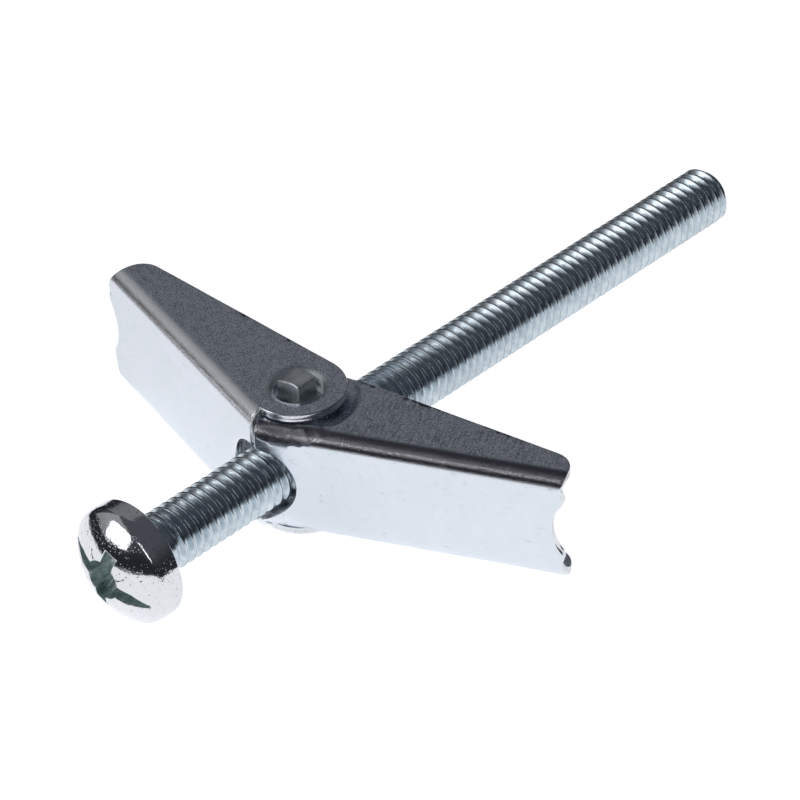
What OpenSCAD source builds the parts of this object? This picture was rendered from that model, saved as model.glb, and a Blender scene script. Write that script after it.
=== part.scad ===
// Spring toggle bolt: a machine screw, a swivel nut on its thread, two folded sheet wings that
// hinge on the nut's tangs, and the torsion spring that opens them.
// The origin is the centre of the bearing face under the head. +Y runs along the screw to its
// tip, and +Z along the hinge of the wings.

/* [Screw] */
// Outside diameter of the thread
thread_d = 6; // [4.8:0.1:7.4]
// Length under the head
screw_length = 79; // [60:1:100]
// Length of the plain neck under the head
neck_length = 2.4; // [1:0.1:3.5]
// How far the neck lies below the thread's crests
neck_undercut = 0.3; // [0.1:0.05:0.5]
// Length of the chamfer at the tip
tip_chamfer = 0.8; // [0.4:0.1:1.2]

/* [Head] */
// Diameter of the head
head_d = 11.9; // [11:0.1:14.4]
// Height of the head
head_height = 4.8; // [4.4:0.1:5.8]
// Height of the middle of the rim's round
rim_height = 1.6; // [1.3:0.05:1.9]
// Radius between the dome and the side
rim_r = 1.5; // [0.8:0.1:1.8]
// Turn of the recess about the screw
drive_turn = 17.5; // [0:0.5:90]
// Width of the slot and of the cross's arms
slot_width = 1.4; // [1:0.1:1.7]
// Depth of the slot below the top of the dome
slot_depth = 1.9; // [1.5:0.05:2.3]
// Distance from the slot's pointed end to the head's edge
slot_margin = 0.75; // [0.5:0.05:1.2]
// Width over two arms of the cross
cross_span = 6.4; // [5.4:0.1:7.7]
// Depth of the cross below the top of the dome
cross_depth = 3; // [2.4:0.1:3.6]
// Diameter of the round core of the cross at its mouth
core_d = 3.6; // [3:0.1:4.4]

/* [Nut] */
// Thickness of the nut along the screw
nut_thickness = 5; // [4:0.1:6]
// Wall of the nut on either side of the thread
nut_wall = 1; // [0.8:0.05:1.2]
// Material of the nut above and below the thread
nut_roof = 0.75; // [0.6:0.05:0.95]
// Radial clearance between the nut and the thread
thread_clearance = 0.05; // [0.02:0.01:0.1]
// Distance from the head to the hinge
nut_position = 20.6; // [16:0.1:50]
// Width of a tang across the screw
tang_width = 2.9; // [2.4:0.1:3.5]
// Thickness of a tang along the screw
tang_thickness = 2.4; // [2:0.1:2.9]
// How far a tang stands out of the outer ear
tang_stand_out = 1.1; // [0.8:0.1:1.6]
// Drop of the sheared end of a tang from one side to the other
tang_shear = 0.5; // [0:0.05:0.7]

/* [Wings] */
// Thickness of the sheet
sheet = 0.8; // [0.65:0.05:1]
// Distance from the hinge to the wing's tip
wing_length = 27.3; // [22:0.1:34]
// Clearance between the nut's corners and the webs that swing round them
swing_clearance = 0.28; // [0.2:0.02:0.5]
// Clearance between an ear and the other wing's web
ear_clearance = 0.3; // [0.2:0.05:0.5]
// Clearance between a tang's corners and the hole in an ear
hole_clearance = 0.37; // [0.2:0.01:0.5]
// Gap between the nut's lower shoulder and the inner ear that carries it
shoulder_gap = 0.15; // [0.1:0.05:0.3]
// Gap between the outer and the inner wing's flanges
nest_gap = 0.2; // [0.1:0.05:0.4]
// How far the inner wing's ears are set in
ear_set_in = 0.4; // [0.2:0.05:0.55]
// Inside radius of the bends
bend_r = 0.9; // [0.5:0.05:1]
// Chamfer round the holes of the ears
hole_chamfer = 0.25; // [0.1:0.05:0.4]
// Slope of the flanges' free edges against the web
flange_taper = 15.2; // [13.5:0.1:17]
// Radius of the flanges' outer corners
flange_corner_r = 2.2; // [1.4:0.1:2.6]
// Lean of the left wing in the open stop
lean_left = 14.4; // [12:0.1:24]
// Lean of the right wing in the open stop
lean_right = 26.5; // [18:0.1:32]
// Gap between the two webs in the open stop
butt_gap = 0.2; // [0.1:0.05:0.3]
// Clearance between the thread and the notch that lets it through the webs
notch_clearance = 0.75; // [0.65:0.05:1]
// Drop of the notch below the middle of the web
notch_drop = 0.6; // [0.4:0.05:0.7]
// Slant of the notch's lower edge against the screw's axis
notch_flare = 40; // [20:1:42]
// Radius of the two lobes at the end of the web
lobe_r = 1; // [0.6:0.1:1.2]
// Distance of a lobe from the middle of the web
lobe_spread = 3.3; // [2.8:0.1:3.6]
// Depth of the scallop between the lobes
scallop_depth = 1.15; // [0.8:0.05:1.3]
// How far the ends of the bends stop short of the lobes
end_set_back = 0.3; // [0.2:0.1:0.6]
// Distance from the lobes back to the ends of the left wing's flanges
flange_back_left = 1.4; // [-0.3:0.1:2]
// Distance from the lobes back to the ends of the right wing's flanges
flange_back_right = -0.2; // [-0.3:0.1:2]

/* [Spring] */
// Diameter of the wire
wire_d = 0.5; // [0.4:0.05:0.6]
// Clearance between a tang's corners and the coil
coil_clearance = 0.47; // [0.3:0.01:0.6]
// Rise of the coil in a full turn
coil_pitch = 0.61; // [0.61:0.01:0.75]
// Full turns before the legs leave
coil_turns = 2; // [1:1:3]
// Distance along a wing at which the spring's leg meets the web
leg_reach = 9; // [6:0.1:14]

/* [Hidden] */
$fn = 64;

over = 1;                 // how far a cutting shape runs past what it cuts
gap_small = 0.1;          // free gap between pieces that rest on each other

// screw and head
thread_r = thread_d / 2;
neck_r = thread_r - neck_undercut;
head_r = head_d / 2;

// the rim's round touches the side and the dome, and the dome's centre follows from that
rim_x = head_r - rim_r;
under_round = head_height - rim_r;
dome_centre = (pow(rim_x, 2) + pow(rim_height, 2) - pow(under_round, 2)) / 2 / (rim_height - under_round);
dome_r = head_height - dome_centre;
rim_way = [rim_x, rim_height - dome_centre] / (dome_r - rim_r);

// the slot's floor runs out on the dome at its pointed ends
slot_reach = head_r - slot_margin;
slot_end_height = rim_height + sqrt(max(0, pow(rim_r, 2) - pow(max(0, slot_reach - rim_x), 2)));
slot_floor = head_height - slot_depth;
cross_floor = head_height - cross_depth;

// nut
nut_width = thread_d + 2 * nut_wall;
nut_half_height = thread_r + thread_clearance + nut_roof;
tang_corner_r = norm([tang_width, tang_thickness]) / 2;

// spring: the angles at which its legs end, and the arc from there to where they leave the coil
coil_r = tang_corner_r + coil_clearance + wire_d / 2;
web_inside = norm([nut_width, nut_thickness]) / 2 + swing_clearance;
leg_offset = web_inside - wire_d / 2 - gap_small;
leg_end_r = norm([leg_reach, leg_offset]);
leg_arc = acos(coil_r / leg_end_r);
leg_start = 180 - lean_left + atan2(leg_offset, leg_reach);
leg_end = lean_right - atan2(leg_offset, leg_reach);
coil_start = leg_start + leg_arc;
coil_end = leg_end - leg_arc + 360 * (coil_turns + 1);
coil_rise = coil_pitch * (coil_end - coil_start) / 360;
coil_low = nut_half_height + gap_small + wire_d / 2;
coil_steps = 24 * coil_turns;

// wings: the coil's height lifts them until the lower inner ear carries the nut
wing_rise = (coil_rise + wire_d + 2 * gap_small - shoulder_gap) / 2;
wing_base = [0, nut_position, wing_rise];
web_offset = web_inside + sheet;
ear_r = web_inside - ear_clearance;
ear_hole_r = tang_corner_r + hole_clearance;
bend_outer_r = bend_r + sheet;
bend_line = web_offset - bend_outer_r;
relief_line = bend_line - 0.05;    // the ears' round runs as far as this towards the web
step_r = ear_r + 1.3;              // the inner wing's set-in round reaches past the outer ear
notch_r = thread_r + notch_clearance;
inner_half_height = nut_half_height + wing_rise + shoulder_gap + sheet + ear_set_in;
outer_half_height = inner_half_height + nest_gap + sheet;

// the scallop's circle touches both lobes
scallop_r = (pow(scallop_depth, 2) + pow(lobe_spread, 2)) / (2 * scallop_depth) - lobe_r;
scallop_centre = wing_length - scallop_depth + scallop_r;

tang_high = wing_rise + outer_half_height + tang_stand_out;
tang_low = outer_half_height + tang_stand_out - wing_rise;

// ---------------------------------------------------------------- screw

// Half section of the head, with the underside on y = 0
module head_section() {
    square([head_r, rim_height]);
    translate([rim_x, rim_height])
        circle(rim_r);
    intersection() {
        translate([0, dome_centre])
            circle(dome_r);
        polygon([
            [0, 0],
            [rim_x, rim_height],
            [rim_x, rim_height] + rim_r * 1.5 * rim_way,
            [0, head_height + over]
        ]);
    }
}

// The long slot: pointed in plan, and its floor rises to the dome at both ends
module long_slot() {
    shoulder = cross_span / 2;
    intersection() {
        linear_extrude(head_height + over)
            polygon([
                [-slot_reach, 0],
                [-shoulder, -slot_width / 2],
                [shoulder, -slot_width / 2],
                [slot_reach, 0],
                [shoulder, slot_width / 2],
                [-shoulder, slot_width / 2]
            ]);
        rotate([90, 0, 0])
            linear_extrude(slot_width + over, center = true)
                polygon([
                    [-shoulder, slot_floor],
                    [shoulder, slot_floor],
                    [slot_reach, slot_end_height],
                    [slot_reach, head_height + over],
                    [-slot_reach, head_height + over],
                    [-slot_reach, slot_end_height]
                ]);
    }
}

// One arm of the cross, deepest at the core and running out at its end
module cross_arm() {
    rotate([90, 0, 0])
        linear_extrude(slot_width, center = true)
            polygon([
                [0, cross_floor],
                [cross_span / 4, cross_floor],
                [cross_span / 2, slot_floor],
                [cross_span / 2, head_height + over],
                [0, head_height + over]
            ]);
}

// The recess stands on the head's axis, with the head's top towards +Z
module drive_recess() {
    long_slot();
    for (turn = [0:90:270])
        rotate([0, 0, turn])
            cross_arm();
    translate([0, 0, cross_floor])
        cylinder(h = cross_depth, r1 = core_d / 2 - 0.5, r2 = core_d / 2);
}

module screw() {
    color([0.74, 0.77, 0.81]) {
        // the head, dome towards -Y
        rotate([90, 0, 0])
            difference() {
                rotate_extrude()
                    intersection() {
                        head_section();
                        square([head_r, head_height]);
                    }
                rotate([0, 0, -drive_turn])
                    drive_recess();
            }
        rotate([-90, 0, 0])
            rotate_extrude()
                polygon([
                    [0, -gap_small],
                    [neck_r, -gap_small],
                    [neck_r, neck_length - neck_undercut],
                    [thread_r, neck_length],
                    [thread_r, screw_length - tip_chamfer],
                    [thread_r - tip_chamfer, screw_length],
                    [0, screw_length]
                ]);
    }
}

// ---------------------------------------------------------------- nut

// A tang from the middle of the nut to a height, with its end sheared at a slant
module tang(height) {
    rotate([90, 0, 0])
        linear_extrude(tang_thickness, center = true)
            polygon([
                [-tang_width / 2, 0],
                [tang_width / 2, 0],
                [tang_width / 2, height - tang_shear / 4],
                [tang_width / 4, height],
                [-tang_width / 2, height - tang_shear]
            ]);
}

module nut() {
    bore_r = thread_r + thread_clearance;
    mouth = 0.5;
    edge = 0.6;
    height = 2 * nut_half_height;
    color([0.62, 0.64, 0.67])
        translate([0, nut_position, 0])
            difference() {
                union() {
                    rotate([90, 0, 0])
                        linear_extrude(nut_thickness, center = true)
                            intersection() {
                                square([nut_width, height], center = true);
                                rotate(45)
                                    square((nut_width + height - 2 * edge) / sqrt(2), center = true);
                            }
                    tang(tang_high);
                    rotate([0, 180, 0])
                        tang(tang_low);
                }
                rotate([90, 0, 0])
                    cylinder(h = nut_thickness + 2 * over, r = bore_r, center = true);
                for (way = [-90, 90])
                    rotate([way, 0, 0])
                        translate([0, 0, nut_thickness / 2 - mouth])
                            cylinder(h = mouth, r1 = bore_r, r2 = bore_r + mouth);
            }
}

// ---------------------------------------------------------------- wings

// The web side of the channel: a slab with two round edges, open towards +Y
module round_slab(back, r, half_height) {
    reach = ear_r + over;
    translate([back + r, -half_height])
        square([reach - back - r, 2 * half_height]);
    translate([back, r - half_height])
        square([2 * r, 2 * (half_height - r)]);
    for (side = [-1, 1])
        translate([back + r, side * (half_height - r)])
            circle(r);
}

// The folded channel as a straight length of section, along +X
module channel(half_height) {
    translate([-ear_r - over, 0, 0])
        rotate([90, 0, 90])
            linear_extrude(wing_length + ear_r + 2 * over)
                difference() {
                    round_slab(-web_offset, bend_outer_r, half_height);
                    round_slab(-web_inside, bend_r, half_height - sheet);
                }
}

// Outline of a wing seen along the hinge: the ear, the tapered flange and its round corner.
// The inner edge of the bend stays on the wing's own side of the screw's axis. The inner wing's
// ears stop at the relief line, under the round of the outer wing's ears
module wing_outline(root, lean, flange_end, inner) {
    relief_root = root + (web_inside - relief_line) * tan(lean);
    slope = [sin(flange_taper), cos(flange_taper)];
    tangent = ear_r * slope;
    corner_x = flange_end - flange_corner_r;
    corner = [
        corner_x,
        tangent.y - (corner_x - tangent.x) * tan(flange_taper) - flange_corner_r / cos(flange_taper)
    ];
    difference() {
        circle(ear_r);
        if (inner)
            translate([-ear_r, -ear_r - over])
                square([2 * ear_r, ear_r + over - relief_line]);
    }
    translate(corner)
        circle(flange_corner_r);
    polygon([
        [relief_root, -relief_line],
        [root, -web_inside],
        [root, -web_offset - over],
        [wing_length + over, -web_offset - over],
        [wing_length + over, -web_inside],
        corner + [flange_corner_r, 0],
        corner + flange_corner_r * slope,
        tangent,
        [0, 0],
        [0, -relief_line]
    ]);
}

// Where a line from point p touches a circle; turn is 1 or -1 for either side
function touch(centre, r, p, turn) =
    let (a = atan2(p.y - centre.y, p.x - centre.x) + turn * acos(min(1, r / norm(p - centre))))
    centre + r * [cos(a), sin(a)];

// All that is cut off a wing's end, seen from outside the web: what is left ends in two round
// lobes with the scallop between them, and slants over the bends to the ends of the flanges
module beyond_end(half_height, flange_end) {
    far = half_height + over;
    back = wing_length - end_set_back;
    inner = min(back, flange_end) - 2 * over;
    lobe = [wing_length - lobe_r, lobe_spread];
    bend = [back, half_height - bend_outer_r];
    inner_touch = lobe + lobe_r * ([scallop_centre, 0] - lobe) / norm([scallop_centre, 0] - lobe);
    outer_touch = touch(lobe, lobe_r, bend, -1);
    upper = [inner_touch, outer_touch, bend, [flange_end, half_height], [flange_end, far + over]];
    lower = [for (i = [len(upper) - 1:-1:0]) [upper[i].x, -upper[i].y]];
    difference() {
        translate([inner, -far])
            square([wing_length + over - inner, 2 * far]);
        polygon(concat([[inner - over, -far - over]], lower, upper, [[inner - over, far + over]]));
        for (side = [-1, 1])
            translate([lobe.x, side * lobe.y])
                circle(lobe_r);
    }
    translate([scallop_centre, 0])
        circle(scallop_r);
}

// The notch for the screw, seen from outside the web. Its lower edge leaves the round at a slant
module notch(root) {
    slant = notch_r - 0.03;
    translate([root, -notch_drop]) {
        circle(notch_r);
        rotate(notch_flare)
            polygon([
                [0, -slant],
                [0, 0],
                [-notch_r, 0],
                [-notch_r, -slant]
            ]);
    }
}

// The round of the inner wing's flanges that is set in under the outer wing's ears
module set_in_round(low, high) {
    translate([0, 0, low])
        intersection() {
            cylinder(h = high - low, r = step_r);
            translate([-step_r - over, -bend_line, 0])
                cube([2 * (step_r + over), bend_line + step_r + over, high - low]);
        }
}

// A wing along +X, with its web towards -Y. set_in is 0 on the outer wing
module wing(half_height, lean, set_in, flange_back) {
    root = butt_gap / 2 / cos(lean) - web_inside * tan(lean);
    flange_end = wing_length - flange_back;
    difference() {
        union() {
            intersection() {
                channel(half_height);
                linear_extrude(2 * half_height + 2 * over, center = true)
                    wing_outline(root, lean, flange_end, set_in > 0);
            }
            if (set_in > 0)
                for (side = [0, 1])
                    mirror([0, 0, side])
                        intersection() {
                            set_in_round(half_height - sheet - set_in, half_height - sheet / 2);
                            linear_extrude(half_height)
                                wing_outline(root, lean, flange_end, set_in > 0);
                        }
        }
        if (set_in > 0)
            for (side = [0, 1])
                mirror([0, 0, side])
                    set_in_round(half_height - set_in, half_height + over);
        cylinder(h = 2 * half_height + 2 * over, r = ear_hole_r, center = true);
        for (side = [0, 1])
            mirror([0, 0, side])
                translate([0, 0, half_height - set_in - hole_chamfer])
                    cylinder(h = hole_chamfer, r1 = ear_hole_r, r2 = ear_hole_r + hole_chamfer);
        rotate([90, 0, 0])
            linear_extrude(2 * (web_offset + ear_r), center = true)
                beyond_end(half_height, flange_end);
        translate([0, -bend_line, 0])
            rotate([90, 0, 0])
                linear_extrude(bend_outer_r + over)
                    notch(root);
    }
}

module wing_right() {
    color([0.70, 0.73, 0.78])
        translate(wing_base)
            rotate([0, 0, lean_right])
                wing(inner_half_height, lean_right, ear_set_in, flange_back_right);
}

module wing_left() {
    color([0.66, 0.69, 0.75])
        translate(wing_base)
            mirror([1, 0, 0])
                rotate([0, 0, lean_left])
                    wing(outer_half_height, lean_left, 0, flange_back_left);
}

// ---------------------------------------------------------------- spring

function coil_point(i) =
    let (a = coil_start + (coil_end - coil_start) * i / coil_steps)
    [coil_r * cos(a), coil_r * sin(a), coil_low + coil_rise * i / coil_steps];

function leg_tip(angle, z) = [leg_end_r * cos(angle), leg_end_r * sin(angle), z];

wire_path = concat(
    [leg_tip(leg_start, coil_low)],
    [for (i = [0:coil_steps]) coil_point(i)],
    [leg_tip(leg_end, coil_low + coil_rise)]
);

// A round bar swept along points that run nearly level
module wire(points, d, sides) {
    last = len(points) - 1;
    ways = [for (i = [0:last]) points[min(i + 1, last)] - points[max(i - 1, 0)]];
    rings = [for (i = [0:last])
        let (
            across = cross(ways[i], [0, 0, 1]) / norm(cross(ways[i], [0, 0, 1])),
            rise = cross(across, ways[i]) / norm(ways[i])
        )
        each [for (k = [0:sides - 1])
            points[i] + d / 2 * (cos(360 * k / sides) * across + sin(360 * k / sides) * rise)]
    ];
    walls = [for (i = [0:last - 1], k = [0:sides - 1])
        [i * sides + k, i * sides + (k + 1) % sides, (i + 1) * sides + (k + 1) % sides, (i + 1) * sides + k]];
    start = [for (k = [0:sides - 1]) sides - 1 - k];
    end = [for (k = [0:sides - 1]) last * sides + k];
    polyhedron(points = rings, faces = concat([start], walls, [end]), convexity = 6);
}

module spring() {
    color([0.45, 0.46, 0.48])
        translate([0, nut_position, 0])
            wire(wire_path, wire_d, 8);
}

screw();
nut();
wing_right();
wing_left();
spring();
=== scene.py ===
import math

import bmesh
import bpy
import numpy as np
from mathutils import Matrix, Vector
from mathutils.geometry import delaunay_2d_cdt


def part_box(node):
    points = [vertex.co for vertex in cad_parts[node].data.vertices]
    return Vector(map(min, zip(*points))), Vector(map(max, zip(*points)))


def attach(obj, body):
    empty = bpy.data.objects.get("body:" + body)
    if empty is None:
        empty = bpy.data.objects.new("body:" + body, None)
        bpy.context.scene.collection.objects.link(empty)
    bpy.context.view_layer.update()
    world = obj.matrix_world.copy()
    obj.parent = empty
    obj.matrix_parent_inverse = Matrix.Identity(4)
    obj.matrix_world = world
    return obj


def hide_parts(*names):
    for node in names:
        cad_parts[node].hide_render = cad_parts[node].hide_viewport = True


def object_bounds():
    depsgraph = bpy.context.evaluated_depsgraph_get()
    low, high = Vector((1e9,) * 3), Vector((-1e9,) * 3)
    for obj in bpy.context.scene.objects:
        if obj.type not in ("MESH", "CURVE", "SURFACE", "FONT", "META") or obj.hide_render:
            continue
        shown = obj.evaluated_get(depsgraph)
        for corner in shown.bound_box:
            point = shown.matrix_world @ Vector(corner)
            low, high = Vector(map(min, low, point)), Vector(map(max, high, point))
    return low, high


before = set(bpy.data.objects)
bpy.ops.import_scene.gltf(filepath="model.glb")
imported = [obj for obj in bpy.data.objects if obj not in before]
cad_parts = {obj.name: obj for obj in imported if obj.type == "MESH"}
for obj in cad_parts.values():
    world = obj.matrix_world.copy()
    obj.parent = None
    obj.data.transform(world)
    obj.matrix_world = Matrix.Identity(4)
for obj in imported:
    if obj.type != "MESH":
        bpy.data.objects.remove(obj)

# Spring toggle bolt. Shapes are worked out in millimetres and become metres as each mesh is made.
# +Y runs along the screw to its tip, +Z along the hinge, and the head bears on y = 0.
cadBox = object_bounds()
metresPerMm = 0.001
farOff = 99.0    # a size that nothing here reaches


def boxMm(node):
    low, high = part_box(node)
    return [v / metresPerMm for v in low], [v / metresPerMm for v in high]


def smooth(t):
    t = np.clip(t, 0.0, 1.0)
    return t * t * (3 - 2 * t)


def addObject(name, data):
    made = bpy.data.objects.new(name, data)
    bpy.context.scene.collection.objects.link(made)
    return made


def polar(r, angle, x=0.0, y=0.0):
    return x + r * math.cos(angle), y + r * math.sin(angle)


# A turn about the third axis
def spinMatrix(angle):
    c, s = math.cos(angle), math.sin(angle)
    return np.array([[c, -s, 0], [s, c, 0], [0, 0, 1]])


# A mesh object from points in millimetres. Faces may differ in their number of corners
def makeMesh(name, points, faces, materials, faceMaterial=None, marks=None, normals=None):
    mesh = bpy.data.meshes.new(name)
    mesh.from_pydata([tuple(p) for p in np.asarray(points) * metresPerMm], [], faces)
    for material in materials:
        mesh.materials.append(material)
    mesh.polygons.foreach_set("use_smooth", [True] * len(mesh.polygons))
    if faceMaterial is not None:
        mesh.polygons.foreach_set("material_index", faceMaterial)
    for key, values in (marks or {}).items():
        kind, field = ("FLOAT_VECTOR", "vector") if np.ndim(values) == 2 else ("FLOAT", "value")
        layer = mesh.attributes.new(key, kind, "POINT")
        layer.data.foreach_set(field, np.ravel(values).astype(np.float32))
    mesh.validate()
    mesh.update()
    if normals is not None:
        mesh.normals_split_custom_set_from_vertices([tuple(n) for n in normals])
    return addObject(name, mesh)


# Shader maths: a socket that takes part in sums
class Wire:
    def __init__(self, tree, socket=None):
        self.tree = tree
        self.socket = socket

    # any node: its type, its settings, then the values or links of its sockets
    def node(self, kind, settings=None, sockets=None, output=0):
        made = self.tree.nodes.new(kind)
        for key, value in (settings or {}).items():
            if key == "stops":
                ramp = made.color_ramp
                while len(ramp.elements) < len(value):
                    ramp.elements.new(0.5)
                for element, (place, shade) in zip(ramp.elements, value):
                    element.position = place
                    element.color = (*shade, 1.0) if isinstance(shade, tuple) else (shade, shade, shade, 1.0)
            else:
                setattr(made, key, value)
        for key, value in (sockets or {}).items():
            if isinstance(value, Wire):
                self.tree.links.new(value.socket, made.inputs[key])
            else:
                made.inputs[key].default_value = value
        return Wire(self.tree, made.outputs[output] if made.outputs else None)

    def sum(self, operation, a, b=0.0, clamp=False):
        return self.node("ShaderNodeMath", {"operation": operation, "use_clamp": clamp}, {0: a, 1: b})

    def __add__(self, other):
        return self.sum("ADD", self, other)

    def __sub__(self, other):
        return self.sum("SUBTRACT", self, other)

    def __rsub__(self, other):
        return self.sum("SUBTRACT", other, self)

    def __mul__(self, other):
        return self.sum("MULTIPLY", self, other)

    __radd__ = __add__
    __rmul__ = __mul__

    def held(self):
        return self.sum("ADD", self, 0.0, clamp=True)

    def size(self):
        return self.sum("ABSOLUTE", self)

    # 0 below low, 1 above high
    def ramp(self, low, high):
        reach = {"Value": self, "From Min": low, "From Max": high}
        return self.node("ShaderNodeMapRange", {"interpolation_type": "SMOOTHSTEP"}, reach)

    def tint(self, a, b):
        paint = lambda c: (*c, 1.0) if isinstance(c, tuple) else c
        sockets = {0: self, 6: paint(a), 7: paint(b)}
        return self.node("ShaderNodeMix", {"data_type": "RGBA"}, sockets, output=2)

    def stretch(self, scale):
        return self.node("ShaderNodeMapping", None, {"Vector": self, "Scale": scale})

    def noise(self, scale, detail=2.0, rough=0.5):
        sockets = {"Vector": self, "Scale": scale, "Detail": detail, "Roughness": rough}
        return self.node("ShaderNodeTexNoise", None, sockets)

    def cells(self, scale):
        return self.node("ShaderNodeTexVoronoi", {"feature": "F1"}, {"Vector": self, "Scale": scale})

    # what the mesh says at its points: output 1 is a vector, 2 a value
    def mark(self, name, output=2):
        return self.node("ShaderNodeAttribute", {"attribute_name": name}, output=output)

    def parts(self):
        return [self.node("ShaderNodeSeparateXYZ", None, {0: self}, output=i) for i in range(3)]


# A material or a world with an empty tree, and a wire to draw it with
def emptyTree(owner):
    owner.use_nodes = True
    owner.node_tree.nodes.clear()
    return Wire(owner.node_tree)


# A new metal: gives the place on the piece in millimetres, and a function that finishes it
def startMetal(name):
    material = bpy.data.materials.new(name)
    shader = emptyTree(material)
    place = shader.node("ShaderNodeTexCoord", output=3).stretch((1000, 1000, 1000))

    def finish(colour, roughness, height, depth):
        relief = {"Strength": 1.0, "Distance": depth * metresPerMm, "Height": height}
        bump = shader.node("ShaderNodeBump", None, relief)
        metal = {"Base Color": colour, "Metallic": 1.0, "Roughness": roughness, "Normal": bump}
        surface = shader.node("ShaderNodeBsdfPrincipled", None, metal)
        shader.node("ShaderNodeOutputMaterial", None, {"Surface": surface})
        return material

    return place, finish


headLook = {
    "colour": (0.80, 0.815, 0.85),
    "shade": (0.70, 0.72, 0.77),
    "pitShade": (0.13, 0.13, 0.16),
    "roughness": 0.075,
    "pitSize": 2.3,       # pits to the millimetre
    "speckSize": 4.4,
    "pitPatch": (0.42, 0.54),    # which parts of the slow noise hold pits
    "pitDepth": 0.012,
}


def headZinc(look):
    place, finish = startMetal("headZinc")
    cloud = place.noise(0.5, 3)
    grain = place.noise(9.0, 3, 0.6)
    pits = 1 - place.cells(look["pitSize"]).ramp(0.08, 0.22)
    rare = place.noise(1.1, 2).ramp(*look["pitPatch"])
    dust = place.noise(1.7, 2).ramp(*look["pitPatch"])
    specks = (1 - place.cells(look["speckSize"]).ramp(0.10, 0.24)) * dust
    pit = (pits * rare + specks * 0.6).held()
    colour = (pit * 0.8).tint((cloud * 0.6).tint(look["colour"], look["shade"]), look["pitShade"])
    roughness = look["roughness"] + cloud * 0.04 + pit * 0.3 + grain * 0.02
    dents = place.noise(1.6, 2).ramp(0.3, 0.7)
    height = grain * 0.1 + dents * 0.5 - pit
    return finish(colour, roughness, height, look["pitDepth"])


recessLook = {
    "colour": (0.60, 0.69, 0.68),
    "shade": (0.36, 0.44, 0.44),
    "roughness": 0.22,
    "grainDepth": 0.06,
}


def recessZinc(look):
    place, finish = startMetal("recessZinc")
    cloud = place.noise(1.3, 3, 0.6)
    grain = place.noise(8.0, 3, 0.6)
    colour = cloud.ramp(0.35, 0.65).tint(look["colour"], look["shade"])
    roughness = look["roughness"] + grain * 0.18
    return finish(colour, roughness, grain * 0.6 + cloud, look["grainDepth"])


threadLook = {
    "colour": (0.70, 0.78, 0.84),
    "shade": (0.50, 0.58, 0.64),
    "roughness": 0.15,
    "grainDepth": 0.012,
}


def threadZinc(look):
    place, finish = startMetal("threadZinc")
    cloud = place.noise(0.7, 3, 0.6)
    grain = place.noise(7.0, 3, 0.65)
    lines = place.stretch((1.2, 14.0, 1.2)).noise(1.0, 3, 0.7)
    colour = (cloud.ramp(0.35, 0.7) * 0.7 + grain * 0.3).tint(look["colour"], look["shade"])
    roughness = look["roughness"] + cloud * 0.08 + grain * 0.08
    return finish(colour, roughness, grain * 0.55 + lines * 0.45, look["grainDepth"])


sheetLook = {
    "web": (0.79, 0.84, 0.92),
    "webShade": (0.76, 0.82, 0.88),
    # bend: a dark tone, painted as shade on the bends and over one web, and the colour of the dots and
    # scratches
    "bend": (0.22, 0.215, 0.245),
    "bendPaintedGlint": (0.86, 0.87, 0.90),
    "bendPaintedSheen": (0.95, 0.97, 1.0),
    "flange": (0.86, 0.91, 1.0),
    "flangeShade": (0.36, 0.385, 0.45),
    "brushLine": (0.20, 0.205, 0.23),
    "edge": (0.86, 0.88, 0.90),
    "holeRimPaintedSheen": (0.84, 0.95, 0.96),
    "webRoughness": 0.24,
    "flangeRoughness": 0.30,
    "bendRoughness": 0.13,
    "paleRoughness": 0.36,
    "grainDepth": 0.014,
}


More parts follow.
